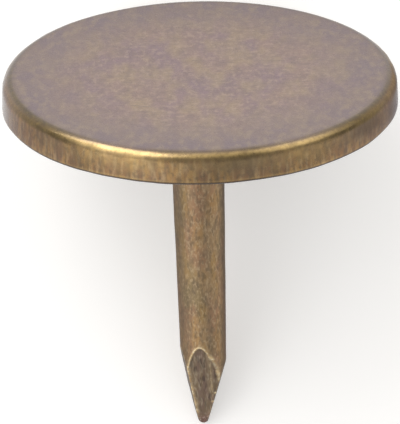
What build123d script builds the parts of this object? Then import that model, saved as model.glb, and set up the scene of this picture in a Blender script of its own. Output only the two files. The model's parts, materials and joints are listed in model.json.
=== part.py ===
from build123d import *
import os
from collections import namedtuple
from math import asin, atan2, degrees, hypot, radians, tan

# Flat-headed tapestry nail in aged brass, in millimetres.
# A round cap is pressed from sheet, with its rim turned down, and a tapered shank with a cut
# point is welded under its middle. Both are drawn upright first, with the top face at Z = 0,
# the point down and the broadest facet of the point towards -Y. They are then laid on their
# side, as the nail comes to rest, so that the rim and the tip touch Z = 0.

# Cap
head_diameter = 16.0
rim_height = 1.36  # top face to seating edge
sheet_thickness = 0.45
outer_bend_radius = 0.42
inner_bend_radius = 0.12
seating_corner_radius = 0.16  # outer corner only, the inner one is sheared square

# Shank
nail_length = 15.44  # top face to tip
root_diameter = 2.24  # under the weld
shank_taper = 0.93  # degrees on each side
weld_radius = 0.25  # metal pressed out round the root by the weld
root_off_centre = 0.16  # the weld sits this far towards -X
tip_off_centre = 0.04  # so does the tip

# Point
nose_radius = 0.23
nose_flare = 31.0  # degrees from the axis, where the nose meets the facets
nose_off_axis = 0.065

# Facets of the point, cut one by one and therefore uneven. faces is the way a facet looks, in
# degrees round the shank from +X. length is how far above the tip it runs out on the round
# shank, and land is how far from the axis it would be at the tip.
Facet = namedtuple("Facet", "faces length land")
front_facet = Facet(faces=-98.9, length=3.78, land=0.155)
folded_facet = Facet(faces=-81.5, length=3.41, land=0.28)
right_facet = Facet(faces=-9.2, length=2.86, land=0.093)
back_facet = Facet(faces=87.0, length=3.2, land=0.155)
left_facet = Facet(faces=189.7, length=3.57, land=0.254)
point_facets = (front_facet, folded_facet, right_facet, back_facet, left_facet)

# Worked out from the sizes above
head_radius = head_diameter / 2
root_radius = root_diameter / 2
shank_length = nail_length - sheet_thickness
taper_slope = tan(radians(shank_taper))
shank_lean = degrees(atan2(root_off_centre - tip_off_centre, shank_length))
beyond = head_diameter  # how far cutting blocks reach past the nail


def turned(outline):
    """Solid of revolution about Z from the edges of a half section, given as X and Z."""
    return revolve(Plane.XZ * make_face(outline), Axis.Z)


def cap():
    """Sheet cap: flat top, worn bend, and a rim that ends in the seating edge."""
    inner_radius = head_radius - sheet_thickness
    bend_centre = (head_radius - outer_bend_radius, -outer_bend_radius)
    corner_centre = (head_radius - seating_corner_radius, seating_corner_radius - rim_height)
    inner_centre = (inner_radius - inner_bend_radius, -sheet_thickness - inner_bend_radius)
    outer_bend = CenterArc(bend_centre, outer_bend_radius, 0, 90)
    seating_corner = CenterArc(corner_centre, seating_corner_radius, -90, 90)
    inner_bend = CenterArc(inner_centre, inner_bend_radius, 0, 90)
    outside = [
        Line((0, 0), outer_bend @ 1),
        outer_bend,
        Line(outer_bend @ 0, seating_corner @ 1),
        seating_corner,
    ]
    seating_edge = Line(seating_corner @ 0, (inner_radius, -rim_height))
    inside = [
        Line(seating_edge @ 1, inner_bend @ 0),
        inner_bend,
        Line(inner_bend @ 1, (0, -sheet_thickness)),
    ]
    middle = Line((0, -sheet_thickness), (0, 0))
    return turned([*outside, seating_edge, *inside, middle])


def shank_radius(height):
    """Radius of the round shank at a height above its tip."""
    return root_radius - (shank_length - weld_radius - height) * taper_slope


def round_shank():
    """Tapered shank with its weld collar, tip at the origin, standing past the cap's underside."""
    weld_top = shank_length + weld_radius
    weld_centre = (root_radius + weld_radius, shank_length - weld_radius)
    weld = CenterArc(weld_centre, weld_radius, 90, 90)
    outline = [
        Line((0, 0), (shank_radius(0), 0)),
        Line((shank_radius(0), 0), weld @ 1),
        weld,
        Line(weld @ 0, (weld_centre[0], weld_top)),
        Line((weld_centre[0], weld_top), (0, weld_top)),
        Line((0, weld_top), (0, 0)),
    ]
    return turned(outline)


def nose_envelope():
    """Rounded nose that widens upwards, which the blunt tip is kept within."""
    top = shank_length + beyond
    nose = CenterArc((0, nose_radius), nose_radius, -90, 90 - nose_flare)
    flare = PolarLine(nose @ 1, beyond, 90 - nose_flare)
    outline = [
        nose,
        flare,
        Line(flare @ 1, ((flare @ 1).X, top)),
        Line(((flare @ 1).X, top), (0, top)),
        Line((0, top), (0, 0)),
    ]
    return Pos(-nose_off_axis, 0, 0) * turned(outline)


def facet_cut(facet):
    """Block of all that lies outside one facet, for a shank with its tip at the origin."""
    half_angle = degrees(atan2(shank_radius(facet.length) - facet.land, facet.length))
    outside = Box(beyond, beyond, beyond, align=(Align.MIN, Align.CENTER, Align.CENTER))
    return Rot(0, 0, facet.faces) * Pos(facet.land, 0, 0) * Rot(0, half_angle, 0) * outside


def pointed_shank():
    """Shank with its point, upright under the cap and cut flush with the cap's underside."""
    shank = round_shank() & nose_envelope()
    for facet in point_facets:
        shank -= facet_cut(facet)
    placed = Pos(-tip_off_centre, 0, -nail_length) * Rot(0, -shank_lean, 0) * shank
    above = Box(beyond, beyond, beyond, align=(Align.CENTER, Align.CENTER, Align.MIN))
    return placed - Pos(0, 0, -sheet_thickness) * above


def resting_tilt():
    """Slope of the shank in degrees when the seating corner and the nose lie on one plane."""
    across = head_radius - seating_corner_radius
    along = (nail_length - nose_radius) - (rim_height - seating_corner_radius)
    lift = asin((nose_radius - seating_corner_radius) / hypot(across, along))
    return degrees(atan2(across, along) - lift)


def laid_down(pieces):
    """The upright pieces on their side: head towards +Y, front facet up, lowest points at Z = 0."""
    tipped = {name: Rot(resting_tilt() - 90, 0, 0) * piece for name, piece in pieces.items()}
    box = Compound([*tipped.values()]).bounding_box()
    seat = Pos(-box.center().X, -box.center().Y, -box.min.Z)
    return {name: seat * piece for name, piece in tipped.items()}


nail = laid_down({"head_cap": cap(), "pointed_shank": pointed_shank()})

os.makedirs("parts", exist_ok=True)
for name, piece in nail.items():
    export_step(piece, f"parts/{name}.step")
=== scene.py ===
"""Tapestry nail in aged brass: a pressed cap on a tapered shank, lying on a pale floor."""

import json
import logging
import math
from dataclasses import dataclass
from enum import Enum

import bpy
import numpy as np
from mathutils import Matrix, Vector


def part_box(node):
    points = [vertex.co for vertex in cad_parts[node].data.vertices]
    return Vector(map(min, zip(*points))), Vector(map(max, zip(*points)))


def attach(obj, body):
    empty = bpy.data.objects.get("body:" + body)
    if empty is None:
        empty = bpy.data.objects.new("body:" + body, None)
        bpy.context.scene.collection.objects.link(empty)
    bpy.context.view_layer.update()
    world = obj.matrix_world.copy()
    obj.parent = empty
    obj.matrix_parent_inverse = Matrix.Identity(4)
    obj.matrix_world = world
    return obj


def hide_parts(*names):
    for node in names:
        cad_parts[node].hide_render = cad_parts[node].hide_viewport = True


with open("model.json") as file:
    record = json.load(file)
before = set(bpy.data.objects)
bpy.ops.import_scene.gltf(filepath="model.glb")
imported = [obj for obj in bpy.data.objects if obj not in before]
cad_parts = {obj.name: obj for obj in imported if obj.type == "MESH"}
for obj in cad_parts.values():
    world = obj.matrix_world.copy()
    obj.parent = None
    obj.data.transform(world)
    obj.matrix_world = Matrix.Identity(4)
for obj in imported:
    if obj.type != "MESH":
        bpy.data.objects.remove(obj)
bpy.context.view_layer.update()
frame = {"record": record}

MM = 0.001  # metres in a millimetre
PHOTO_WIDTH, PHOTO_HEIGHT = 400, 424  # pixels
PLACE = "nail_mm"  # attribute with each point's place in the nail's own millimetres
WAVES, WAVE_SPREAD = 11, (0.6, 1.5)  # sines in an unevenness, and their lengths as shares of it
MIX_SHARE, MIX_BELOW, MIX_OVER, MIX_RESULT = 0, 6, 7, 2  # sockets of a colour mix
STAIN_FALLOFF, RELIEF_FALLOFF = 0.55, 0.6  # how strongly each finer layer of noise shows
FIRST_TURN = 0.2  # of the lowest ring round the tip, in radians
FACING, FAR = 0.05, 9.0  # a facet turned away past this cosine lies this far off, in mm
LEAST_SLOPE, LEAST_BLEND = 1e-3, 1e-6  # keep quotients finite
CLOUD_DETAIL, CLOUD_RANGE = 3.0, (0.35, 0.65)  # range of the noise that the polish uses
LACQUER_IOR = 1.5
LAMP_AIM = -5.0  # mm under the top face

Array, Node, Object = np.ndarray, bpy.types.Node, bpy.types.Object
Material, Socket, Tree = bpy.types.Material, bpy.types.NodeSocket, bpy.types.NodeTree
Pair = tuple[float, float]  # unless a comment says more: where a mask starts and where it is full
Triple = tuple[float, float, float]

log = logging.getLogger("tapestry_nail")


def linear(hex_code: str) -> tuple[float, float, float, float]:
    """Turns an sRGB hex colour to linear.

    Args:
        hex_code: Six hex digits, such as "a58c6b".

    Returns:
        Linear red, green and blue, and an alpha of 1.
    """
    shares = [int(hex_code[i : i + 2], 16) / 255 for i in (0, 2, 4)]
    steps = [s / 12.92 if s <= 0.04045 else ((s + 0.055) / 1.055) ** 2.4 for s in shares]
    return (*steps, 1.0)


def add_node(
    tree: Tree,
    kind: str,
    settings: dict | None = None,
    links: dict | None = None,
) -> Node:
    """Adds a node with its settings and links.

    Args:
        tree: Node tree that gets the node.
        kind: Blender's name for the node type, without the ShaderNode before it.
        settings: Values by property name, or by the name or number of an input.
        links: Output sockets, or six hex digits of a colour, by the name or number of the input.

    Returns:
        The new node.
    """
    node = tree.nodes.new("ShaderNode" + kind)
    for name, value in (settings or {}).items():
        if isinstance(name, str) and hasattr(node, name):
            setattr(node, name, value)
        else:
            node.inputs[name].default_value = value
    for name, source in (links or {}).items():
        if isinstance(source, str):
            node.inputs[name].default_value = linear(source)
        else:
            tree.links.new(source, node.inputs[name])
    return node


def emptied(owner: Material | bpy.types.World) -> Tree:
    """Gives a material or a world a node tree with nothing in it.

    Args:
        owner: What gets the tree.

    Returns:
        The tree.
    """
    owner.use_nodes = True
    owner.node_tree.nodes.clear()
    return owner.node_tree


def in_scene(name: str, data: bpy.types.ID) -> Object:
    """Puts a mesh, lamp or camera into the scene.

    Args:
        name: Name of the object.
        data: What it shows or does.

    Returns:
        The object.
    """
    made = bpy.data.objects.new(name, data)
    bpy.context.scene.collection.objects.link(made)
    return made


def fade(low: float, high: float, value: Array) -> Array:
    """Rises smoothly from 0 at low to 1 at high, which may be the smaller one."""
    share = np.clip((value - low) / (high - low), 0.0, 1.0)
    return share * share * (3 - 2 * share)


def hump(value: Array, half_width: float | Array) -> Array:
    """Falls from 1 at a value of 0 to about a third at the half width, on both sides."""
    return np.exp(-((value / half_width) ** 2))


def at_least(least: float, share: Array) -> Array:
    """Squeezes a share so that it runs from the least to 1."""
    return least + (1 - least) * share


def line(start: Pair, end: Pair, steps: int) -> list[Pair]:
    """Points of a straight run as (radius, height) in mm, without its end."""
    a, b = np.array(start), np.array(end)
    return [tuple(a + (b - a) * i / steps) for i in range(steps)]


def arc(centre: Pair, radius: float, start: float, end: float, steps: int) -> list[Pair]:
    """Points of an arc between two angles in degrees as (radius, height) in mm, without its end."""
    turns = [math.radians(start + (end - start) * i / steps) for i in range(steps)]
    return [(centre[0] + radius * math.cos(t), centre[1] + radius * math.sin(t)) for t in turns]


def reach(way: Array, offset: Array, radius: Array) -> Array:
    """Distance along unit vectors to a circle whose middle is offset towards +X."""
    return offset * way[0] + np.sqrt(np.maximum(radius**2 - (offset * way[1]) ** 2, 0))


@dataclass(frozen=True)
class Unevenness:
    """Slow waves of hand work in a surface, as a seeded sum of sines."""

    height: float  # usual rise or fall in mm
    length: float  # from crest to crest in mm
    seed: int

    def at(self, points: Array) -> Array:
        """Reads the waves.

        Args:
            points: Places in mm, with x, y and z last.

        Returns:
            The rise in mm at each place.
        """
        draws = np.random.default_rng(self.seed)
        total = np.zeros(points.shape[:-1])
        for _ in range(WAVES):
            way = draws.normal(size=3)
            way /= np.linalg.norm(way)
            turns = points @ way / (self.length * draws.uniform(*WAVE_SPREAD))
            total += np.sin(2 * math.pi * (turns + draws.uniform()))
        return self.height * total / math.sqrt(WAVES)


@dataclass(frozen=True)
class NailFrame:
    """The upright nail's own frame: top face at Z = 0, point down, broadest facet towards -Y."""

    matrix: Matrix  # takes its millimetres to metres in the row frame

    @classmethod
    def from_record(cls, record: dict, rim_height: float) -> "NailFrame":
        """Finds the frame of the lying nail from its seating mount.

        Args:
            record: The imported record.
            rim_height: Height of the cap in mm.

        Returns:
            The frame.
        """
        seat = next(mount for mount in record["mounts"] if mount["name"] == "rim_seat")
        up = -Vector(seat["axis"]).normalized()
        across = Vector((1, 0, 0))
        top = Vector(seat["pos_m"]) + up * rim_height * MM
        turn = Matrix((across, up.cross(across), up)).transposed()
        return cls(Matrix.Translation(top) @ turn.to_4x4() @ Matrix.Scale(MM, 4))

    def placed(self, points: Array) -> Array:
        """Takes points in mm in this frame to metres in the row frame."""
        whole = np.array(self.matrix)
        return points @ whole[:3, :3].T + whole[:3, 3]

    def point(self, x: float, y: float, z: float) -> Vector:
        """Takes one point in mm in this frame to metres in the row frame."""
        return self.matrix @ Vector((x, y, z))


class Mask(Enum):
    """Shares that a mesh carries for its finish, from 0 to 1."""

    CROWN_AND_SHEEN = "crown"  # top face of the cap, and the painted grey reflection on the rim's far sides
    CROWN_EDGE = "crown_edge"  # outer part of the top face
    BEND_AND_SHADE = "bend"  # rounded edge of the cap, its darker olive partly painted shade
    TARNISH_AND_SHADE = "tarnish_and_shade"  # browner stretches, where the lacquer is thin: tarnish, and painted shade on the sides and front of the rim and shank
    RUBBED_AND_HIGHLIGHT = "rubbed_and_highlit"  # bare brass where handling wore the lacquer and the patina, placed and brightened as painted highlight on the bend, band and lower edge
    SEAT_SHADE = "seat"  # painted shade along the lowest part of the rim, where it turns under
    CUT = "cut"  # facets of the point
    NOSE = "nose"  # rounded end of the point
    LIP_HIGHLIGHT = "lip_highlight"  # metal pushed up along the edge of a facet, painted pale as a highlight


@dataclass
class Skin:
    """Closed surface of rings round an axis, with a single point at each end."""

    name: str
    rings: Array  # points in mm in the nail's frame, by ring and by place round it
    ends: tuple[Array, Array]  # points before the first ring and after the last one
    masks: dict[Mask, Array]  # share by ring and place

    def faces(self) -> list[tuple[int, ...]]:
        """Joins the rings with quads and closes each end with a fan of triangles.

        Returns:
            The places of each face's corners in the list of points.
        """
        rows, around = self.rings.shape[:2]
        first, last = rows * around, rows * around + 1
        found = []
        for i in range(around):
            j = (i + 1) % around
            found.append((first, j, i))
            found.append((last, (rows - 1) * around + i, (rows - 1) * around + j))
            for row in range(rows - 1):
                low, high = row * around, (row + 1) * around
                found.append((low + i, low + j, high + j, high + i))
        return found

    def build(self, nail: NailFrame) -> Object:
        """Makes the piece's object, with its own millimetres and its masks as attributes.

        Args:
            nail: Frame that the points are in.

        Returns:
            The object, in place.
        """
        points = np.vstack([self.rings.reshape(-1, 3), *self.ends])
        mesh = bpy.data.meshes.new(self.name)
        mesh.from_pydata(nail.placed(points).tolist(), [], self.faces())
        place = mesh.attributes.new(PLACE, "FLOAT_VECTOR", "POINT")
        place.data.foreach_set("vector", points.astype(np.float32).ravel())
        for mask, share in self.masks.items():
            values = np.concatenate([share.ravel(), share[0, :1], share[-1, :1]])
            carried = mesh.attributes.new(mask.value, "FLOAT", "POINT")
            carried.data.foreach_set("value", values.astype(np.float32))
        mesh.shade_smooth()
        return in_scene(self.name, mesh)


@dataclass(frozen=True)
class Stain:
    """Patches or streaks of another colour in a surface."""

    colour: str
    size_mm: float  # width of a patch
    share: float  # how much it covers at most
    starts: float  # level of the noise where it starts to show
    fills: float  # and where it shows most
    stretch: Triple = (1.0, 1.0, 1.0)  # below 1 for long streaks
    detail: float = 2.0  # finer layers in the noise
    seed: float = 0.0  # moves the noise, so that no two stains fall together


@dataclass(frozen=True)
class Tone:
    """Ground colour and the stains over it, the lowest first."""

    colour: str
    stains: tuple[Stain, ...] = ()


@dataclass(frozen=True)
class Relief:
    """Fine unevenness that only turns the light."""

    size_mm: float  # width of a bump
    height_mm: float
    stretch: Triple = (1.0, 1.0, 1.0)  # below 1 for long ridges
    detail: float = 3.0  # these two as in a stain
    seed: float = 0.0


class BrassTree:
    """Node tree of a brass finish, which reads its place and its masks from the mesh."""

    def __init__(self, name: str, masks: tuple[Mask, ...]) -> None:
        """Starts the material.

        Args:
            name: Its name.
            masks: Shares that the mesh carries for it.
        """
        self.material = bpy.data.materials.new(name)
        self.tree = emptied(self.material)
        place = add_node(self.tree, "Attribute", {"attribute_name": PLACE})
        self.place = place.outputs["Vector"]
        self.shares = {}
        for mask in masks:
            share = add_node(self.tree, "Attribute", {"attribute_name": mask.value})
            self.shares[mask] = share.outputs["Fac"]

    def pattern(self, grain: Stain | Relief, falloff: float) -> Socket:
        """Spreads the uneven pattern of a stain or a relief over the metal.

        Args:
            grain: What the pattern is for.
            falloff: How strongly each finer layer of it shows.

        Returns:
            The level of the pattern, mostly near 0.5.
        """
        scale = tuple(share / grain.size_mm for share in grain.stretch)
        shift = (grain.seed, 2 * grain.seed, 3 * grain.seed)
        settings = {"operation": "MULTIPLY_ADD", 1: scale, 2: shift}
        scaled = add_node(self.tree, "VectorMath", settings, {0: self.place})
        settings = {"Scale": 1.0, "Detail": grain.detail, "Roughness": falloff}
        noise = add_node(self.tree, "TexNoise", settings, {"Vector": scaled.outputs["Vector"]})
        return noise.outputs["Fac"]

    def stained(self, tone: Tone) -> Socket | str:
        """Lays the stains of a tone over its ground colour.

        Args:
            tone: What to lay.

        Returns:
            The stained colour, or the ground's own hex digits where there is no stain.
        """
        colour = tone.colour
        for stain in tone.stains:
            settings = {"From Min": stain.starts, "From Max": stain.fills, "To Max": stain.share}
            settings["interpolation_type"] = "SMOOTHSTEP"
            links = {"Value": self.pattern(stain, STAIN_FALLOFF)}
            cover = add_node(self.tree, "MapRange", settings, links).outputs["Result"]
            links = {MIX_SHARE: cover, MIX_BELOW: colour, MIX_OVER: stain.colour}
            colour = add_node(self.tree, "Mix", {"data_type": "RGBA"}, links).outputs[MIX_RESULT]
        return colour

    def layered(self, ground: Tone, layers: dict[Mask, Tone]) -> Socket:
        """Lays tones over one another, each where its mask says.

        Args:
            ground: The lowest tone.
            layers: Each further tone, from the lowest up.

        Returns:
            The finished colour.
        """
        colour = self.stained(ground)
        for mask, tone in layers.items():
            over = self.stained(tone)
            links = {MIX_SHARE: self.shares[mask], MIX_BELOW: colour, MIX_OVER: over}
            colour = add_node(self.tree, "Mix", {"data_type": "RGBA"}, links).outputs[MIX_RESULT]
        return colour

    def clouded(self, clouds_per_mm: float, smooth: float, dull: float) -> Socket:
        """Polishes the metal unevenly.

        Args:
            clouds_per_mm: How close the clouds are.
            smooth: Roughness where it was polished best.
            dull: Roughness where it was polished least.

        Returns:
            The roughness.
        """
        settings = {"Scale": clouds_per_mm, "Detail": CLOUD_DETAIL}
        noise = add_node(self.tree, "TexNoise", settings, {"Vector": self.place})
        low, high = CLOUD_RANGE
        settings = {"From Min": low, "From Max": high, "To Min": smooth, "To Max": dull}
        rough = add_node(self.tree, "MapRange", settings, {"Value": noise.outputs["Fac"]})
        return rough.outputs["Result"]

    def finished(self, reliefs: tuple[Relief, ...], settings: dict, links: dict) -> Material:
        """Adds the relief and the lacquered metal, and closes the material.

        Args:
            reliefs: Fine unevenness, the lowest first.
            settings: Values of the shader beside those of all brass.
            links: Output sockets that go to the shader.

        Returns:
            The material.
        """
        below = {}
        for relief in reliefs:
            size = {"Strength": 1.0, "Distance": relief.height_mm * MM}
            below["Height"] = self.pattern(relief, RELIEF_FALLOFF)
            below["Normal"] = add_node(self.tree, "Bump", size, below).outputs["Normal"]
        settings = {"Metallic": 1.0, "Coat IOR": LACQUER_IOR, **settings}
        links = {"Normal": below["Normal"], **links}
        shader = add_node(self.tree, "BsdfPrincipled", settings, links)
        add_node(self.tree, "OutputMaterial", links={"Surface": shader.outputs["BSDF"]})
        return self.material


ACROSS_TOP = (1.0, 0.5, 1.0)  # patches a little longer towards the photographed front
DOWN_RIM = (1.0, 1.0, 0.13)  # the press drew the rim this way
ALONG_WIRE = (1.0, 1.0, 0.38)  # the wire was drawn this way
CUTTER_WAY = (1.0, 1.0, 0.14)  # the cutter's lines run up the facets


@dataclass(frozen=True)
class AgedCapBrass:
    """Brass sheet, pressed and polished, then toned and clear lacquered.

    The eye sees a soft satin mirror: it takes the tone of what it faces, greyer and rosier at a
    slant where the lacquer shines, olive brown face on. Bare brass shows gold on the bend, with
    painted highlight laid in where the bend mirrors the softboxes, and the press left fine draw
    lines down the rim. Painted shade darkens the rim's sides, front and lower edge, and a painted
    grey reflection lies on its far sides.
    """

    top: Tone = Tone("987d70", (
        Stain("8a7176", 1.8, 0.90, 0.33, 0.66, ACROSS_TOP, 1.5),
        Stain("a99368", 0.85, 0.46, 0.37, 0.67, ACROSS_TOP, 1.5, 3.7),
        Stain("7a645f", 0.36, 0.42, 0.42, 0.71, ACROSS_TOP, 1.5, 9.1),
        Stain("bda38e", 0.17, 0.42, 0.44, 0.74, (0.8, 0.5, 1.0), 2.0, 5.3),
        # polishing lines, drawn coarser than the real 0.03 mm
        Stain("70605a", 0.10, 0.36, 0.46, 0.74, (0.2, 0.9, 1.0), 2.0, 1.9),
    ))
    crown_edge: Tone = Tone("847069", (
        Stain("77666e", 0.95, 0.70, 0.38, 0.64, ACROSS_TOP, 1.5, 4.6),
        Stain("9f8b73", 0.30, 0.50, 0.42, 0.70, ACROSS_TOP, 2.0, 7.9),
    ))
    rim: Tone = Tone("86623d", (
        Stain("745743", 0.70, 0.66, 0.40, 0.64, (1.0, 1.0, 0.35), 1.0, 2.3),
        Stain("a5814a", 0.42, 0.62, 0.40, 0.65, (1.0, 1.0, 0.45), 1.0, 4.1),
        # draw lines, drawn coarser than the real 0.02 mm
        Stain("4e3e2b", 0.22, 0.52, 0.45, 0.70, (1.0, 1.0, 0.2), 1.5, 7.7),
        Stain("b09670", 0.15, 0.44, 0.47, 0.70, (1.0, 1.0, 0.25), 1.0, 8.9),
        Stain("5a4a37", 0.17, 0.55, 0.46, 0.66, (1.0, 1.0, 0.8), 2.0, 6.1),
    ))
    # this tone is also painted shade, laid on the rim's front and sides
    tarnish_and_shade_tone: Tone = Tone("594d42", (
        Stain("6a5c4b", 0.36, 0.80, 0.42, 0.64, (1.0, 1.0, 0.4), 1.5, 1.7),
        Stain("4c4038", 0.15, 0.50, 0.46, 0.68, DOWN_RIM, 2.0, 9.3),
    ))
    # olive patina, darkened in part as painted shade where the bend mirrors dark surroundings
    bend: Tone = Tone("5f4e2e", (
        Stain("4f412a", 0.50, 0.70, 0.42, 0.62, seed=8.3),
        Stain("776536", 0.16, 0.40, 0.46, 0.68, seed=2.9),
    ))
    # gold of bare brass, also painted highlight where the bend mirrors the softboxes
    bare_and_highlight: Tone = Tone("d2b272", (
        Stain("a58a56", 0.34, 0.60, 0.44, 0.64, seed=3.3),
        Stain("8a6f48", 0.15, 0.40, 0.48, 0.68, seed=6.7),
    ))
    # painted shade under the rim's lower edge
    seat_shade_tone: Tone = Tone("3d3024")
    relief: tuple[Relief, ...] = (
        Relief(0.24, 0.0022, DOWN_RIM),
        Relief(0.10, 0.0009),
    )
    slant_tint: str = "949096"  # what bare metal mirrors at a slant
    clouds_per_mm: float = 4.0
    worn_smooth: float = 0.20  # roughness where the metal was polished best
    worn_dull: float = 0.32
    bare_scratched: float = 0.10  # added where the bare metal shows
    top_lacquer: float = 1.0
    rim_lacquer: float = 0.8
    lacquer_left: float = 0.3  # share of it kept where the tarnish and painted shade lie
    lacquer_roughness: float = 0.22

    def lacquer(self, brass: BrassTree) -> Socket:
        """Spreads the lacquer, thinner on the rim and mostly gone along the tarnish and painted
        shade.

        Args:
            brass: Node tree of the finish.

        Returns:
            The weight of the lacquer.
        """
        links = {}
        on_rim = (Mask.CROWN_AND_SHEEN, self.rim_lacquer, self.top_lacquer)
        tarnish_and_shade = (Mask.TARNISH_AND_SHADE, 1.0, self.lacquer_left)
        for i, (mask, low, high) in enumerate((on_rim, tarnish_and_shade)):
            settings = {"To Min": low, "To Max": high}
            part = add_node(brass.tree, "MapRange", settings, {"Value": brass.shares[mask]})
            links[i] = part.outputs["Result"]
        return add_node(brass.tree, "Math", {"operation": "MULTIPLY"}, links).outputs["Value"]

    def build(self) -> Material:
        """Builds the material.

        Returns:
            The material.
        """
        layers = {
            Mask.TARNISH_AND_SHADE: self.tarnish_and_shade_tone,
            Mask.CROWN_AND_SHEEN: self.top,
            Mask.CROWN_EDGE: self.crown_edge,
            Mask.BEND_AND_SHADE: self.bend,
            Mask.RUBBED_AND_HIGHLIGHT: self.bare_and_highlight,
            Mask.SEAT_SHADE: self.seat_shade_tone,
        }
        brass = BrassTree("aged_brass_pressed_lacquered", tuple(layers))
        polish = brass.clouded(self.clouds_per_mm, self.worn_smooth, self.worn_dull)
        settings = {"operation": "MULTIPLY_ADD", 1: self.bare_scratched}
        rough = add_node(brass.tree, "Math", settings, {0: brass.shares[Mask.RUBBED_AND_HIGHLIGHT], 2: polish})
        settings = {
            "Specular Tint": linear(self.slant_tint),
            "Coat Roughness": self.lacquer_roughness,
        }
        links = {
            "Base Color": brass.layered(self.rim, layers),
            "Roughness": rough.outputs["Value"],
            "Coat Weight": self.lacquer(brass),
        }
        return brass.finished(self.relief, settings, links)


@dataclass(frozen=True)
class AgedShankBrass:
    """Brass wire, drawn and tapered, toned but only thinly lacquered, with its point cut last.

    The eye sees a duller brown satin with short specks along the wire, and painted shade down its
    sides and front. The facets are darker and rosier, streaked the way the cutter went, and their
    pushed-up edges are pale, painted as a highlight.
    """

    wire: Tone = Tone("9a7f5d", (
        Stain("766a4c", 1.10, 0.60, 0.42, 0.62, ALONG_WIRE, 1.0, 1.3),
        Stain("956e56", 0.80, 0.55, 0.44, 0.62, ALONG_WIRE, 1.0, 2.7),
        Stain("a2804c", 0.55, 0.52, 0.45, 0.64, ALONG_WIRE, 1.5, 4.9),
        Stain("7a6751", 0.28, 0.55, 0.44, 0.66, ALONG_WIRE, 1.0, 3.3),
        Stain("bca481", 0.095, 0.50, 0.46, 0.70, (1.0, 1.0, 0.5), 2.0, 7.1),
        Stain("584c3c", 0.11, 0.46, 0.46, 0.70, (1.0, 1.0, 0.45), 2.0, 9.7),
    ))
    # this tone is also painted shade down the shank's sides and front
    tarnish_and_shade_tone: Tone = Tone("675949", (
        Stain("7d6a50", 0.34, 0.60, 0.44, 0.64, ALONG_WIRE, 1.5, 3.9),
        Stain("4a3f34", 0.11, 0.50, 0.46, 0.70, ALONG_WIRE, 1.5, 6.2),
    ))
    facet: Tone = Tone("6e5c49", (
        Stain("82705a", 0.20, 0.70, 0.42, 0.64, CUTTER_WAY, 1.5, 3.1),
        Stain("6f5950", 0.24, 0.60, 0.44, 0.64, CUTTER_WAY, 1.5, 5.9),
        # cutter lines, drawn coarser than the real 0.02 mm
        Stain("a3947e", 0.09, 0.50, 0.48, 0.68, CUTTER_WAY, 1.5, 8.3),
        Stain("3c322c", 0.10, 0.60, 0.48, 0.68, CUTTER_WAY, 1.5, 0.7),
    ))
    nose: Tone = Tone("6c564a", (
        Stain("86625a", 0.14, 0.60, 0.44, 0.62, seed=4.4),
        Stain("b4a498", 0.10, 0.60, 0.50, 0.64, seed=6.6),
        Stain("46342e", 0.11, 0.70, 0.50, 0.64, seed=1.1),
    ))
    # pushed-up metal, painted pale as a highlight
    lip_highlight: Tone = Tone("dcc193", (
        Stain("b08c5e", 0.16, 0.70, 0.47, 0.58, seed=2.2),
        Stain("f4e6c4", 0.12, 0.70, 0.50, 0.62, seed=5.5),
    ))
    relief: tuple[Relief, ...] = (
        Relief(0.20, 0.0040, ALONG_WIRE),
        Relief(0.07, 0.0016, CUTTER_WAY),
    )
    slant_tint: str = "949296"  # what bare metal mirrors at a slant
    clouds_per_mm: float = 6.0
    worn_smooth: float = 0.33
    worn_dull: float = 0.45
    lacquer: float = 0.4
    lacquer_roughness: float = 0.35

    def build(self) -> Material:
        """Builds the material.

        Returns:
            The material.
        """
        layers = {
            Mask.TARNISH_AND_SHADE: self.tarnish_and_shade_tone,
            Mask.CUT: self.facet,
            Mask.NOSE: self.nose,
            Mask.LIP_HIGHLIGHT: self.lip_highlight,
        }
        brass = BrassTree("aged_brass_drawn_toned", tuple(layers))
        settings = {
            "Specular Tint": linear(self.slant_tint),
            "Coat Weight": self.lacquer,
            "Coat Roughness": self.lacquer_roughness,
        }
        links = {
            "Base Color": brass.layered(self.wire, layers),
            "Roughness": brass.clouded(self.clouds_per_mm, self.worn_smooth, self.worn_dull),
        }
        return brass.finished(self.relief, settings, links)


@dataclass(frozen=True)
class WornArc:
    """Stretch of the outside given more of a mask than the rest: wear with painted highlight,
    tarnish with painted shade, painted grey reflection.
    """

    middle: float  # degrees round it from the front, positive towards +X
    spread: float  # half width in degrees
    share: float  # how far it went

    def at(self, ways: Array) -> Array:
        """Reads how far it went.

        Args:
            ways: Unit vectors outward.

        Returns:
            The share at each of them.
        """
        angle = np.degrees(np.arctan2(ways[:, 0], -ways[:, 1]))
        away = (angle - self.middle + 180) % 360 - 180
        return self.share * hump(away, self.spread)


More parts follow.
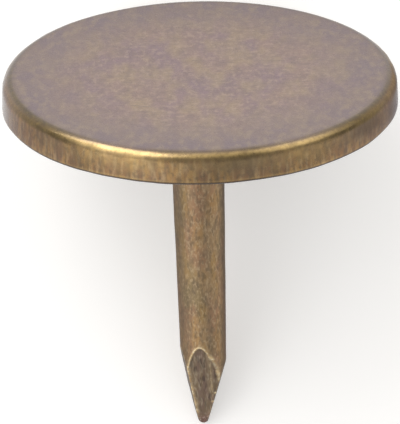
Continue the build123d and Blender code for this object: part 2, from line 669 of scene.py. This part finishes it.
@dataclass
class HeadCap:
    """The pressed cap: flat top, worn bend, turned-down rim and hollow underside, in mm.

    Its heights count from the top face, so those of the rim are below 0.
    """

    radius: float
    rim_height: float = 1.36
    sheet: float = 0.45
    outer_bend: float = 0.42
    inner_bend: float = 0.12
    seating_corner: float = 0.16
    sheared_corner: float = 0.02
    band_draw: float = 0.045  # how far the press drew in the top of the band
    middle: float = 0.16  # radius of the first ring on the top
    hollow_middle: float = 0.4  # and of the last one underneath
    around: int = 480
    top_steps: int = 44
    bend_steps: int = 20
    hammering: Unevenness = Unevenness(0.006, 4.5, 3)
    bend_waver: Unevenness = Unevenness(0.010, 3.4, 8)
    bend_dents: Unevenness = Unevenness(0.005, 0.65, 30)
    draw_ripple: Unevenness = Unevenness(0.004, 1.1, 14)
    edge_waver: Unevenness = Unevenness(0.012, 3.0, 21)
    # bare brass and painted highlight: left and right where the bend mirrors the softboxes, and at
    # the front
    rubbed_and_highlight_arcs: tuple[WornArc, ...] = (
        WornArc(-24, 17, 1.0),
        WornArc(28, 14, 0.8),
        WornArc(2, 20, 0.6),
        WornArc(120, 40, 0.6),
        WornArc(-130, 35, 0.6),
    )
    # painted shade on the front, right and left of the rim; tarnish round the back
    tarnish_and_shade_arcs: tuple[WornArc, ...] = (
        WornArc(11, 11, 0.9),
        WornArc(57, 22, 0.9),
        WornArc(84, 26, 1.0),
        WornArc(-52, 14, 0.6),
        WornArc(170, 45, 0.6),
    )
    grey_sheen_arcs: tuple[WornArc, ...] = (  # painted reflection: the top's grey tone laid down the rim's far sides, as their grazing sheen
        WornArc(-86, 20, 0.45),
        WornArc(84, 18, 0.40),
    )
    grey_sheen_pull: float = 1.6  # how fast the painted reflection drives out the bend's tone and evens the tarnish
    outside: Pair = (0.7, 0.3)  # in sheets in from the outer face
    crown: Pair = (-0.16, -0.01)
    band: Pair = (-0.25, -0.5)
    foot: float = -0.9  # height where the lower edge starts to waver
    crown_edge_from: float = 0.5  # share of the flat's radius where its outer tone starts
    # the bend's tone starts inside the flat top, as a painted brown shade line above the highlight
    bend_from_flat: Pair = (-0.08, 0.13)
    bend_up_band: Pair = (-0.36, -0.22)
    # heights where the painted reflection drives out the bend's tone
    bend_grey_sheen: Pair = (-0.02, -0.12)
    bend_highlight_line: Pair = (-0.13, 0.12)  # height and half width of the rubbed line, which is also painted highlight
    edge_highlight_line: Pair = (-1.20, 0.05)  # painted highlight line: the same, where the band turns under
    # wear and painted highlight running down the band
    band_rub_and_highlight_heights: Pair = (-1.3, -0.3)
    # tarnish and painted shade, fuller up the band towards the bend
    band_tarnish_and_shade: Pair = (-1.2, -0.5)
    # painted shade on the lowest part of the rim
    seat: Pair = (-1.22, -1.27)
    hollow_wall: float = 0.03
    hollow: Pair = (-0.7, -1.0)  # in sheets under the top
    least: float = 0.3  # of the tarnish and painted shade low on the band, and of the painted highlight line on its edge
    crown_edge: float = 0.95  # share of the outer tone at the edge of the top face
    bend_spared: float = 0.25  # share of the bend's own tone that rubbing and painted highlight leave
    hollow_tarnish: float = 0.85  # on the underside, which nothing rubs
    band_rub_and_highlight: float = 0.40  # how far the band below shares the bend's wear and painted highlight
    edge_highlight: float = 0.30  # painted highlight line where the band turns under

    def profile(self) -> Array:
        """Half section from near the middle of the top, over the rim and back below.

        Returns:
            Radius and height in mm, point by point.
        """
        inner = self.radius - self.sheet
        bend = (self.radius - self.outer_bend, -self.outer_bend)
        corner = (self.radius - self.seating_corner, self.seating_corner - self.rim_height)
        shear = (inner + self.sheared_corner, self.sheared_corner - self.rim_height)
        hollow = (inner - self.inner_bend, -self.sheet - self.inner_bend)
        points = line((self.middle, 0), (bend[0], 0), self.top_steps)
        points += arc(bend, self.outer_bend, 90, 0, self.bend_steps)
        points += line((self.radius, bend[1]), (self.radius, corner[1]), steps=14)
        points += arc(corner, self.seating_corner, 0, -90, steps=8)
        points += line((corner[0], -self.rim_height), (shear[0], -self.rim_height), steps=3)
        points += arc(shear, self.sheared_corner, -90, -180, steps=3)
        points += line((inner, shear[1]), (inner, hollow[1]), steps=6)
        points += arc(hollow, self.inner_bend, 0, 90, steps=6)
        points += line((hollow[0], -self.sheet), (self.hollow_middle, -self.sheet), steps=14)
        return np.array(points)

    def skin(self) -> Skin:
        """Turns the section round the axis and gives it its hand-made unevenness.

        Returns:
            The cap's surface with its masks.
        """
        profile = self.profile()
        step = np.gradient(profile, axis=0)
        out = np.stack([-step[:, 1], step[:, 0]], axis=1)
        out /= np.linalg.norm(out, axis=1, keepdims=True)
        turns = -np.arange(self.around) * 2 * math.pi / self.around
        ways = np.stack([np.sin(turns), -np.cos(turns), np.zeros(self.around)], axis=1)
        radius, height = profile[:, :1, None], profile[:, 1:, None]
        up = np.array([0.0, 0.0, 1.0])
        rings = radius * ways + height * up
        normals = out[:, :1, None] * ways + out[:, 1:, None] * up

        level = profile[:, 1:]
        begins, full = (self.radius - self.sheet * share for share in self.outside)
        outside = fade(begins, full, profile[:, :1])
        upper = np.arange(len(profile)) < self.top_steps + self.bend_steps
        top = upper[:, None] * fade(*self.crown, level)
        band = outside * fade(*self.band, level)
        bend = np.clip(1 - top - band, 0, 1) * outside
        low = fade(self.foot, -self.rim_height, level)
        rim_line = np.broadcast_to(self.radius * ways, rings.shape)
        lift = top * self.hammering.at(rings) + band * self.draw_ripple.at(rim_line)
        lift = lift + bend * (self.bend_waver.at(rim_line) + self.bend_dents.at(rings))
        rings = rings + lift[..., None] * normals
        drawn_in = self.band_draw * np.clip(1 + height / self.rim_height, 0, 1) ** 2
        rings = rings - drawn_in * radius / self.radius * ways
        rings = rings + (low * self.edge_waver.at(rim_line))[..., None] * up
        ends = (np.array([0, 0, rings[0, :, 2].mean()]), np.array([0, 0, -self.sheet]))
        return Skin("head_cap_pressed", rings, ends, self.masks(profile, ways, outside, top))

    def masks(
        self, profile: Array, ways: Array, outside: Array, top: Array
    ) -> dict[Mask, Array]:
        """Finds where each tone of the finish lies.

        Args:
            profile: Radius and height in mm, point by point.
            ways: Unit vectors outward, place by place.
            outside: Share of the outer face at each point.
            top: Share of the top face at each point.

        Returns:
            Share by mask, ring and place.
        """
        reached, level = profile[:, :1], profile[:, 1:]
        # toned is the painted grey reflection on the rim's far sides
        bare_and_highlight, tarnish_and_shade, toned = (
            np.max([worn.at(ways) for worn in arcs], axis=0)[None, :]
            for arcs in (self.rubbed_and_highlight_arcs, self.tarnish_and_shade_arcs, self.grey_sheen_arcs)
        )
        ones = np.ones((1, self.around))
        flat, inner = self.radius - self.outer_bend, self.radius - self.sheet

        lines = (self.bend_highlight_line, self.edge_highlight_line)
        on_bend_highlight, on_edge_highlight = (hump(level - height, half) * outside for height, half in lines)
        on_band = self.band_rub_and_highlight * fade(*self.band_rub_and_highlight_heights, level) * outside
        rubbed_and_highlit = np.maximum(on_bend_highlight, on_band) * bare_and_highlight
        # painted highlight along the lower edge, in the bare brass tone
        edge = self.edge_highlight * on_edge_highlight * at_least(self.least, bare_and_highlight)
        bend = fade(*(flat + mm for mm in self.bend_from_flat), reached)
        bend = bend * fade(*self.bend_up_band, level) * at_least(self.bend_spared, 1 - bare_and_highlight)
        bend = bend * (1 - self.grey_sheen_pull * toned * fade(*self.bend_grey_sheen, level))
        down_band = at_least(self.least, fade(*self.band_tarnish_and_shade, level))
        down_band = np.clip(down_band + self.grey_sheen_pull * toned, 0, 1)
        hollow = fade(inner + self.hollow_wall, inner, reached)
        hollow = self.hollow_tarnish * hollow * fade(*self.hollow, level / self.sheet)
        crown_edge = self.crown_edge * top * fade(self.crown_edge_from * flat, flat, reached)
        return {
            Mask.CROWN_AND_SHEEN: np.maximum(top * ones, outside * toned),
            Mask.CROWN_EDGE: crown_edge * ones,
            Mask.BEND_AND_SHADE: bend,
            Mask.RUBBED_AND_HIGHLIGHT: np.maximum(rubbed_and_highlit, edge),
            Mask.TARNISH_AND_SHADE: np.maximum(outside * down_band * tarnish_and_shade, hollow),
            Mask.SEAT_SHADE: outside * fade(*self.seat, level) * ones,
        }

    def build(self, nail: NailFrame) -> Object:
        """Builds and dresses the cap in place of its CAD node.

        Args:
            nail: Frame of the nail.

        Returns:
            The cap.
        """
        cap = self.skin().build(nail)
        cap.data.materials.append(AgedCapBrass().build())
        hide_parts("head_cap")
        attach(cap, "root")
        return cap


@dataclass(frozen=True)
class Facet:
    """One flat cut of the point, in mm."""

    faces: float  # degrees round the shank from +X
    length: float  # how far above the tip it runs out on the round shank
    land: float  # how far from the axis it would be at the tip
    burr: float  # how much metal its edges push up, from 0 to 1
    lip_width: float  # half width of its pushed-up edge on the round shank


@dataclass(frozen=True)
class Nick:
    """Small chip in an edge of the point, with a burr at each end, in mm."""

    turn: float  # degrees round the shank from +X
    height: float  # of its middle above the tip
    half_height: float
    half_width: float
    depth: float
    burr: float = 0.02
    fades: Pair = (1.0, 0.6)  # in half heights from its middle
    burr_place: Pair = (1.3, 0.3)  # middle and half width of a burr, in half heights


@dataclass
class PointedShank:
    """The tapered shank with its cut point and weld collar, in mm above its tip."""

    nail_length: float = 15.44
    sheet: float = 0.45
    root_radius: float = 1.12
    taper: float = 0.93  # degrees on each side
    weld_radius: float = 0.25
    weld_sink: float = 0.02  # into the cap's underside
    root_off_centre: float = 0.16
    tip_off_centre: float = 0.04
    nose_radius: float = 0.23
    nose_flare: float = 31.0
    nose_off_axis: float = 0.065
    ridge_round: float = 0.012
    ridge_width: float = 0.063
    ridge_foot: float = 2.6  # in widths, of the faint slope beside a ridge
    ridge_core: float = 0.7  # share of the ridge itself, beside that of its foot
    fold: Pair = (0.4, 0.65)  # share of a ridge at a flat fold, and what a square one adds
    lip_height: float = 0.014
    lip_middle: float = 0.6  # in its half widths inside the cut
    burr_mean: float = 0.8
    around: int = 360
    nose_end: float = 0.1  # rings lie closest up to here
    point_end: float = 4.1  # and close up to here
    ring_counts: tuple[int, int, int, int] = (10, 200, 24, 9)  # nose, point, wire, collar
    nose_shift: Pair = (1.6, 0.2)  # heights over which the nose moves off the axis
    rounding: Pair = (0.1, 0.4)
    ridges_rise: Pair = (0.2, 0.5)
    lips_rise: Pair = (0.5, 1.2)
    nose_tone: Pair = (0.75, 0.15)
    cut_tone: Pair = (0.0, 0.02)  # depths of cut
    facets: tuple[Facet, ...] = (
        Facet(-98.9, 3.78, 0.155, 1.0, 0.040),
        Facet(-81.5, 3.41, 0.28, 0.75, 0.085),
        Facet(-9.2, 2.86, 0.093, 0.25, 0.030),
        Facet(87.0, 3.2, 0.155, 0.8, 0.035),
        Facet(189.7, 3.57, 0.254, 0.9, 0.030),
    )
    nick: Nick = Nick(-49.0, 1.34, 0.16, 0.06, 0.05)
    # painted shade down the shank's sides and front; tarnish round the back
    tarnish_and_shade_arcs: tuple[WornArc, ...] = (
        WornArc(-54, 19, 0.50),
        WornArc(17, 8, 0.30),
        WornArc(66, 20, 0.60),
        WornArc(165, 40, 0.40),
    )
    tarnish_waver: Unevenness = Unevenness(0.22, 2.6, 17)
    cutter_chatter: Unevenness = Unevenness(0.004, 0.5, 5)
    burr_waver: Unevenness = Unevenness(0.28, 0.38, 26)
    wire_waver: Unevenness = Unevenness(0.004, 2.4, 12)
    chatter_way: Triple = (1.0, 1.0, 0.15)  # longer up the facets
    tarnish_limits: Pair = (0.4, 1.4)  # least and most that its waver leaves

    @property
    def length(self) -> float:
        """Length under the cap."""
        return self.nail_length - self.sheet

    def round_radius(self, height: Array) -> Array:
        """Radius of the round shank with its weld collar.

        Args:
            height: Heights above the tip.

        Returns:
            The radius at each height.
        """
        foot = self.length - self.weld_radius
        plain = self.root_radius - (foot - height) * math.tan(math.radians(self.taper))
        rise = np.clip(height - foot, 0, self.weld_radius)
        collar = self.weld_radius - np.sqrt(np.maximum(self.weld_radius**2 - rise**2, 0))
        return np.where(height > foot, self.root_radius + collar, plain)

    def nose_limit(self, height: Array) -> Array:
        """Radius of the rounded nose and its flare about the nose's own axis.

        Args:
            height: Heights above the tip.

        Returns:
            The radius at each height.
        """
        flare = math.radians(self.nose_flare)
        meet = self.nose_radius * (1 - math.sin(flare))
        ball = np.sqrt(np.maximum(self.nose_radius**2 - (self.nose_radius - height) ** 2, 0))
        cone = self.nose_radius * math.cos(flare) + (height - meet) * math.tan(flare)
        return np.where(height < meet, ball, cone)

    def heights(self) -> Array:
        """Sets the rings, close together in the point and at the weld.

        Returns:
            Their heights above the tip.
        """
        nose, point, wire, collar = self.ring_counts
        foot = self.length - self.weld_radius
        turns = np.linspace(FIRST_TURN, math.pi / 2, nose, endpoint=False)
        rings = (
            self.nose_end * (1 - np.cos(turns)),
            np.linspace(self.nose_end, self.point_end, point, endpoint=False),
            np.linspace(self.point_end, foot, wire, endpoint=False),
            foot + self.weld_radius * np.sin(np.linspace(0, math.pi / 2, collar)),
            [self.length + self.weld_sink],
        )
        return np.concatenate(rings)

    def ridges(self, planes: Array) -> Array:
        """Pushed-up metal where two facets meet, which the finish also paints pale as a highlight.

        Args:
            planes: Distance in mm from each facet's plane, by facet, ring and place.

        Returns:
            Its share, from 0 to 1.
        """
        share = np.zeros(planes.shape[1:])
        for i, first in enumerate(self.facets):
            for j, second in enumerate(self.facets[:i]):
                turn = abs(math.sin(math.radians(first.faces - second.faces)))
                away = np.abs(planes[i] + planes[j]) / turn
                sharp = min(self.fold[0] + self.fold[1] * turn, 1.0)
                width = self.ridge_width * sharp
                near = self.ridge_core * hump(away, width)
                near = near + (1 - self.ridge_core) * hump(away, self.ridge_foot * width)
                share = np.maximum(share, first.burr * second.burr * sharp * near)
        return share

    def skin(self) -> Skin:
        """Cuts the facets into the round shank, ring by ring.

        Returns:
            The shank's surface with its masks.
        """
        height = self.heights()[:, None]
        turns = np.arange(self.around)[None, :] * 2 * math.pi / self.around
        way = np.stack([np.cos(turns), np.sin(turns)])
        centre = -self.nose_off_axis * fade(*self.nose_shift, height)

        faces, lands, runs = (
            np.array(values)[:, None, None]
            for values in zip(*((math.radians(f.faces), f.land, f.length) for f in self.facets))
        )
        depths = lands + height * (self.round_radius(runs) - lands) / runs - centre * np.cos(faces)
        towards = way[0] * np.cos(faces) + way[1] * np.sin(faces)
        cuts = np.where(towards > FACING, depths / np.maximum(towards, FACING), FAR)
        wire = reach(way, -centre, self.round_radius(height))
        nose = reach(way, -self.nose_off_axis - centre, self.nose_limit(height))
        cut = np.min(cuts, axis=0)

        sharp = np.minimum(np.minimum(wire, cut), nose)
        soft = self.ridge_round * fade(*self.rounding, height)
        radius = sharp
        for surface in [wire, *cuts]:
            blend = np.clip(1 - (surface - sharp) / np.maximum(3 * soft, LEAST_BLEND), 0, 1)
            radius = radius - np.where(surface > sharp, soft * blend**3 / 3, 0)

        depth = wire - cut
        down = np.gradient(depth, axis=0) / np.gradient(height, axis=0)
        sideways = np.roll(depth, -1, 1) - np.roll(depth, 1, 1)
        round_it = sideways * self.around / (4 * math.pi * wire)
        inward = depth / np.maximum(np.hypot(down, round_it), LEAST_SLOPE)
        nearest = np.argmin(cuts, axis=0)
        burr = np.array([facet.burr for facet in self.facets])[nearest]
        width = np.array([facet.lip_width for facet in self.facets])[nearest]
        above_nose = fade(*self.ridges_rise, height)
        in_cut = fade(*self.cut_tone, depth)
        ones = np.ones_like(radius)
        places = np.stack([radius * way[0], radius * way[1], height * ones], axis=-1)
        lip_highlight = burr * hump(inward - self.lip_middle * width, width) * fade(*self.lips_rise, height)
        ridge = self.ridges(depths - radius * towards) * in_cut * above_nose
        uneven = self.burr_mean + self.burr_waver.at(places)
        pushed = np.clip(np.maximum(lip_highlight, ridge) * uneven, 0, 1)

        chip = self.nick
        beside = (turns - math.radians(chip.turn) + math.pi) % (2 * math.pi) - math.pi
        at_edge = hump(beside * radius, chip.half_width)
        up_edge = np.abs((height - chip.height) / chip.half_height)
        chipped = at_edge * fade(*chip.fades, up_edge)
        burred = at_edge * hump(up_edge - chip.burr_place[0], chip.burr_place[1])

        radius = radius + self.lip_height * pushed + chip.burr * burred - chip.depth * chipped
        chatter = self.cutter_chatter.at(places * self.chatter_way)
        radius = radius + in_cut * above_nose * chatter
        radius = radius + (1 - in_cut) * self.wire_waver.at(places)
        tarnish_and_shade = np.max([worn.at(way[:, 0].T) for worn in self.tarnish_and_shade_arcs], axis=0)
        patchy = np.clip(1 + self.tarnish_waver.at(places), *self.tarnish_limits)
        masks = {
            Mask.TARNISH_AND_SHADE: tarnish_and_shade * patchy,
            Mask.CUT: in_cut * ones,
            Mask.NOSE: fade(*self.nose_tone, height) * ones,
            Mask.LIP_HIGHLIGHT: np.maximum(pushed * (1 - chipped), burred),
        }
        local = np.stack([centre + radius * way[0], radius * way[1], height * ones], axis=-1)
        low_end = np.array([-self.nose_off_axis, 0.0, 0.0])
        high_end = np.array([0.0, 0.0, self.length + self.weld_sink])
        ends = (self.leaned(low_end), self.leaned(high_end))
        return Skin("pointed_shank_cut", self.leaned(local), ends, masks)

    def leaned(self, local: Array) -> Array:
        """Takes points above the tip to the nail's frame, where the shank leans a little.

        Args:
            local: Points with the tip at the origin.

        Returns:
            The same points in the nail's frame.
        """
        lean = math.atan2(self.root_off_centre - self.tip_off_centre, self.length)
        x, y, z = local[..., 0], local[..., 1], local[..., 2]
        across = x * math.cos(lean) - z * math.sin(lean) - self.tip_off_centre
        upward = x * math.sin(lean) + z * math.cos(lean) - self.nail_length
        return np.stack([across, y, np.minimum(upward, self.weld_sink - self.sheet)], axis=-1)

    def build(self, nail: NailFrame) -> Object:
        """Builds and dresses the shank in place of its CAD node.

        Args:
            nail: Frame of the nail.

        Returns:
            The shank.
        """
        shank = self.skin().build(nail)
        shank.data.materials.append(AgedShankBrass().build())
        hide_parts("pointed_shank")
        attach(shank, "root")
        return shank


@dataclass(frozen=True)
class Softbox:
    """Soft white lamp that faces the nail."""

    name: str
    way: Triple  # from the nail to the lamp, in the row frame
    size: Pair  # width and height in metres
    radiance: float  # of its face, where 1 is white
    distance: float = 0.4

    def build(self, target: Vector) -> None:
        """Hangs the lamp.

        Args:
            target: Point that it faces, in metres.
        """
        data = bpy.data.lights.new(self.name, "AREA")
        data.shape = "RECTANGLE"
        data.size, data.size_y = self.size
        data.energy = self.radiance * math.pi * self.size[0] * self.size[1]
        lamp = in_scene(self.name, data)
        way = Vector(self.way).normalized()
        lamp.location = target + way * self.distance
        lamp.rotation_mode = "QUATERNION"
        lamp.rotation_quaternion = way.to_track_quat("Z", "Y")
        lamp.visible_camera = False


@dataclass(frozen=True)
class TentWall:
    """Part of the white tent round the nail that a lamp behind it lights."""

    way: Triple  # from the nail to its middle, in the row frame
    edge: float  # cosine of the angle from the middle where the light fades out
    core: float  # and where it is full
    radiance: float  # that it adds, where 1 is white


@dataclass
class Studio:
    """Plain pale floor, two soft lamps behind the nail and a dim tent, lit most from the left."""

    floor_half: float = 1.5  # metres
    floor_colour: str = "e9e7e4"
    floor_lift: float = 0.32  # brings the lit floor to white
    room: float = 0.64  # radiance of the unlit tent
    walls: tuple[TentWall, ...] = (
        TentWall((-0.64, -0.67, 0.38), 0.78, 0.97, 0.85),
        TentWall((0.05, -0.82, 0.57), 0.80, 0.96, 0.28),
        TentWall((0.78, -0.58, 0.22), 0.70, 0.95, 0.35),
        TentWall((-0.58, 0.40, 0.71), 0.84, 0.98, 1.20),
        TentWall((-0.74, -0.12, 0.66), 0.80, 0.97, 0.50),
        TentWall((0.05, 0.92, 0.38), 0.80, 0.97, 0.60),
    )
    lamps: tuple[Softbox, ...] = (
        Softbox("left_back_softbox", (-0.47, 0.70, 0.52), (0.18, 0.42), 2.6),
        Softbox("right_back_softbox", (0.58, 0.68, 0.42), (0.26, 0.40), 0.8),
    )

    def floor(self) -> None:
        """Lays the floor, which shows white to the camera and to the metal but keeps shadows."""
        half = self.floor_half
        mesh = bpy.data.meshes.new("studio_floor")
        corners = [(-half, -half, 0), (half, -half, 0), (half, half, 0), (-half, half, 0)]
        mesh.from_pydata(corners, [], [(0, 1, 2, 3)])
        material = bpy.data.materials.new("matt_paper")
        tree = emptied(material)
        paper = add_node(tree, "BsdfDiffuse", {"Color": linear(self.floor_colour)})
        path = add_node(tree, "LightPath").outputs
        seen, brightest = path["Is Camera Ray"], {"operation": "MAXIMUM"}
        for ray in ("Is Glossy Ray", "Is Transmission Ray"):
            either = add_node(tree, "Math", brightest, {0: seen, 1: path[ray]})
            seen = either.outputs["Value"]
        settings = {"operation": "MULTIPLY", 1: self.floor_lift}
        lift = add_node(tree, "Math", settings, {0: seen})
        glow = add_node(tree, "Emission", links={"Strength": lift.outputs["Value"]})
        links = {0: paper.outputs["BSDF"], 1: glow.outputs["Emission"]}
        both = add_node(tree, "AddShader", links=links)
        add_node(tree, "OutputMaterial", links={"Surface": both.outputs["Shader"]})
        mesh.materials.append(material)
        floor = in_scene("studio_floor", mesh)

    def tent(self) -> None:
        """Sets the dim tent and its lit walls as the world."""
        world = bpy.data.worlds.new("light_tent")
        tree = emptied(world)
        way = add_node(tree, "TexCoord").outputs["Generated"]
        total = None
        for wall in self.walls:
            middle = tuple(Vector(wall.way).normalized())
            settings = {"operation": "DOT_PRODUCT", 1: middle}
            near = add_node(tree, "VectorMath", settings, {0: way}).outputs["Value"]
            settings = {"From Min": wall.edge, "From Max": wall.core, "To Max": wall.radiance}
            settings["interpolation_type"] = "SMOOTHSTEP"
            glow = add_node(tree, "MapRange", settings, {"Value": near})
            links = {0: glow.outputs["Result"]}
            if total is not None:
                links[1] = total
            settings = {"operation": "ADD", 1: self.room}
            total = add_node(tree, "Math", settings, links).outputs["Value"]
        light = add_node(tree, "Background", links={"Strength": total})
        add_node(tree, "OutputWorld", links={"Surface": light.outputs["Background"]})
        bpy.context.scene.world = world

    def build(self, target: Vector) -> None:
        """Sets up the floor, the room and the lamps.

        Args:
            target: Point that the lamps face, in metres.
        """
        self.floor()
        self.tent()
        for lamp in self.lamps:
            lamp.build(target)
        bpy.context.scene.view_settings.view_transform = "Standard"


@dataclass
class PhotoCamera:
    """Camera at the photograph's viewing angle, in the nail's frame."""

    distance: float = 500.0  # mm from the middle of the top face
    elevation: float = 23.29  # degrees above the plane of the top face
    aim: Triple = (-0.09, 0.0, -6.05)  # mm, middle of the picture
    roll: float = 1.13  # degrees clockwise
    focal_pixels: float = 12390.0
    sensor: float = 36.0  # mm
    clip: Pair = (0.01, 10.0)  # nearest and farthest that it sees, in metres

    def build(self, nail: NailFrame) -> None:
        """Places the camera and makes it the scene's.

        Args:
            nail: Frame of the nail.
        """
        rise = math.radians(self.elevation)
        stand = nail.point(0, -self.distance * math.cos(rise), self.distance * math.sin(rise))
        back = (stand - nail.point(*self.aim)).normalized()
        right = (nail.point(0, 0, 1) - nail.point(0, 0, 0)).cross(back).normalized()
        right = Matrix.Rotation(-math.radians(self.roll), 3, back) @ right
        up = back.cross(right)
        data = bpy.data.cameras.new("photo_camera")
        data.sensor_width = self.sensor
        data.lens = self.focal_pixels * self.sensor / max(PHOTO_WIDTH, PHOTO_HEIGHT)
        data.clip_start, data.clip_end = self.clip
        camera = in_scene("photo_camera", data)
        turned = Matrix((right, up, back)).transposed().to_4x4()
        camera.matrix_world = Matrix.Translation(stand) @ turned
        bpy.context.scene.camera = camera


def main() -> None:
    """Builds the nail piece by piece, then the studio and the camera."""
    logging.basicConfig(level=logging.INFO, format="%(name)s: %(message)s")
    low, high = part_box("head_cap")
    cap = HeadCap(radius=(high[0] - low[0]) / 2 / MM)
    nail = NailFrame.from_record(frame["record"], cap.rim_height)
    for piece in (cap.build(nail), PointedShank().build(nail)):
        log.info("%s: %d faces", piece.name, len(piece.data.polygons))
    Studio().build(nail.point(0, 0, LAMP_AIM))
    PhotoCamera().build(nail)
    log.info("studio and camera in place")


if __name__ == "__main__":
    main()
